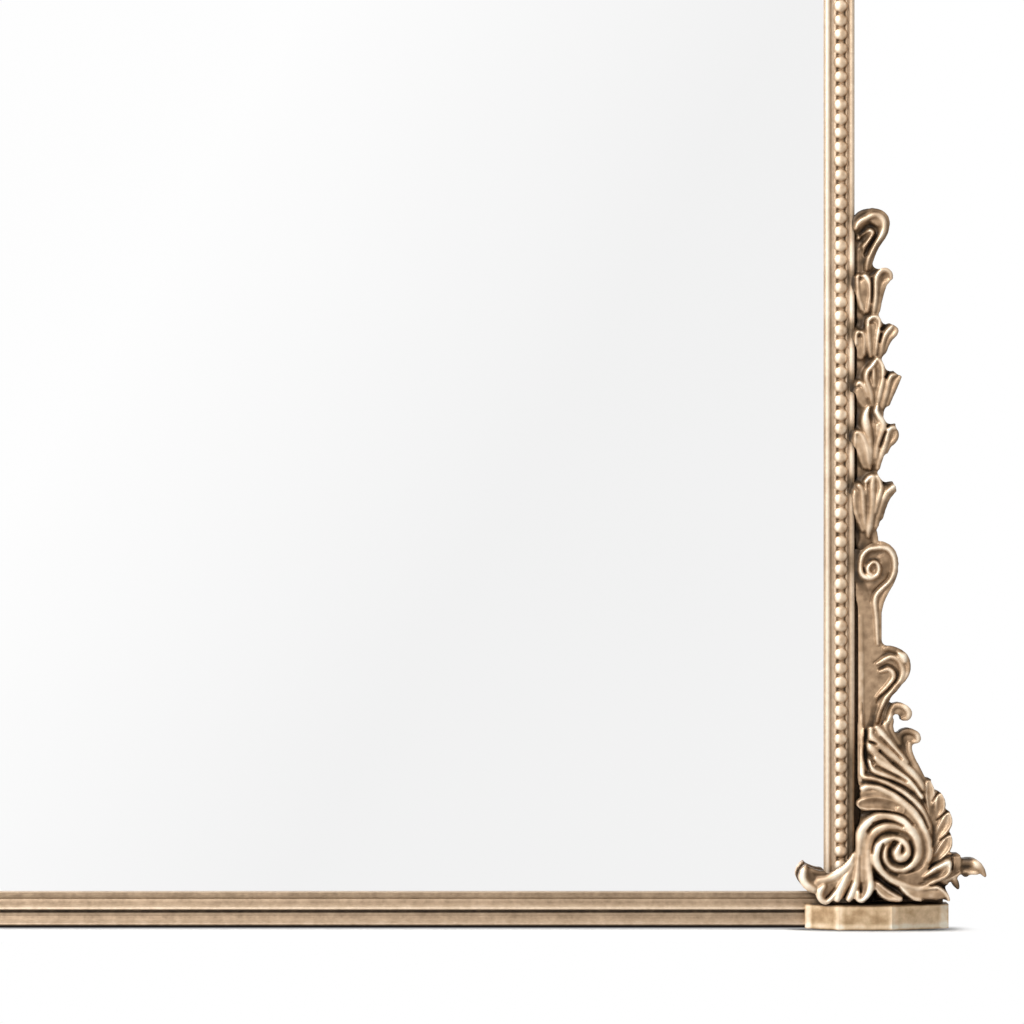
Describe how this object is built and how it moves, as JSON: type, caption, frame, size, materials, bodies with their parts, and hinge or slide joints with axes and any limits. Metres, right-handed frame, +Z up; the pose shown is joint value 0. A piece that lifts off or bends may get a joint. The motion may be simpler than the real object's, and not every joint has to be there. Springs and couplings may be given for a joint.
{
  "type": "arched mirror",
  "caption": "Arched mirror in an antique gold beaded frame, with leaf scroll corners on plinths, side consoles with leaf drops, and hanging rings on its back board.",
  "frame": {"origin": "on the floor, under the middle of the bottom rail, in the plane of the glass's front face", "axes": "+X to the viewer's right along the rail, +Y from the glass back to the wall, +Z up"},
  "size_m": [0.9854, 0.042, 0.8975],
  "materials": {
    "antique_gold": "antique, rubbed edges",
    "silvered_glass": "polished",
    "black_rubber": "matt",
    "grey_mastic": "matt",
    "board": "matt",
    "steel": "zinc plated",
    "hanger_brass": "satin"
  },
  "bodies": {
    "mirror": {"bottom_rail": "antique_gold", "left_stile": "antique_gold", "right_stile": "antique_gold", "left_arch_rail": "antique_gold", "right_arch_rail": "antique_gold", "left_bead_strip": "antique_gold", "right_bead_strip": "antique_gold", "left_arch_beads": "antique_gold", "right_arch_beads": "antique_gold", "left_plinth": "antique_gold", "right_plinth": "antique_gold", "left_corner_scroll": "antique_gold", "right_corner_scroll": "antique_gold", "left_console": "antique_gold", "right_console": "antique_gold", "left_leaf_drop": "antique_gold", "right_leaf_drop": "antique_gold", "mirror_glass": "silvered_glass", "setting_blocks": "black_rubber", "mirror_mastic": "grey_mastic", "backing_board": "board", "frame_dowels": "steel", "board_screws": "steel", "plinth_screws": "steel", "left_hanger_strap": "hanger_brass", "right_hanger_strap": "hanger_brass", "hanger_screws": "hanger_brass", "wall_bumpers": "black_rubber"},
    "left_ring": {"left_hanger_ring": "hanger_brass"},
    "right_ring": {"right_hanger_ring": "hanger_brass"}
  },
  "joints": [
    {"name": "left_ring_swing", "type": "hinge", "parent": "mirror", "child": "left_ring", "pos_m": [-0.33, 0.0169, 0.6], "axis": [1, 0, 0], "range_deg": [0, 180]},
    {"name": "right_ring_swing", "type": "hinge", "parent": "mirror", "child": "right_ring", "pos_m": [0.33, 0.0169, 0.6], "axis": [1, 0, 0], "range_deg": [0, 180]}
  ]
}
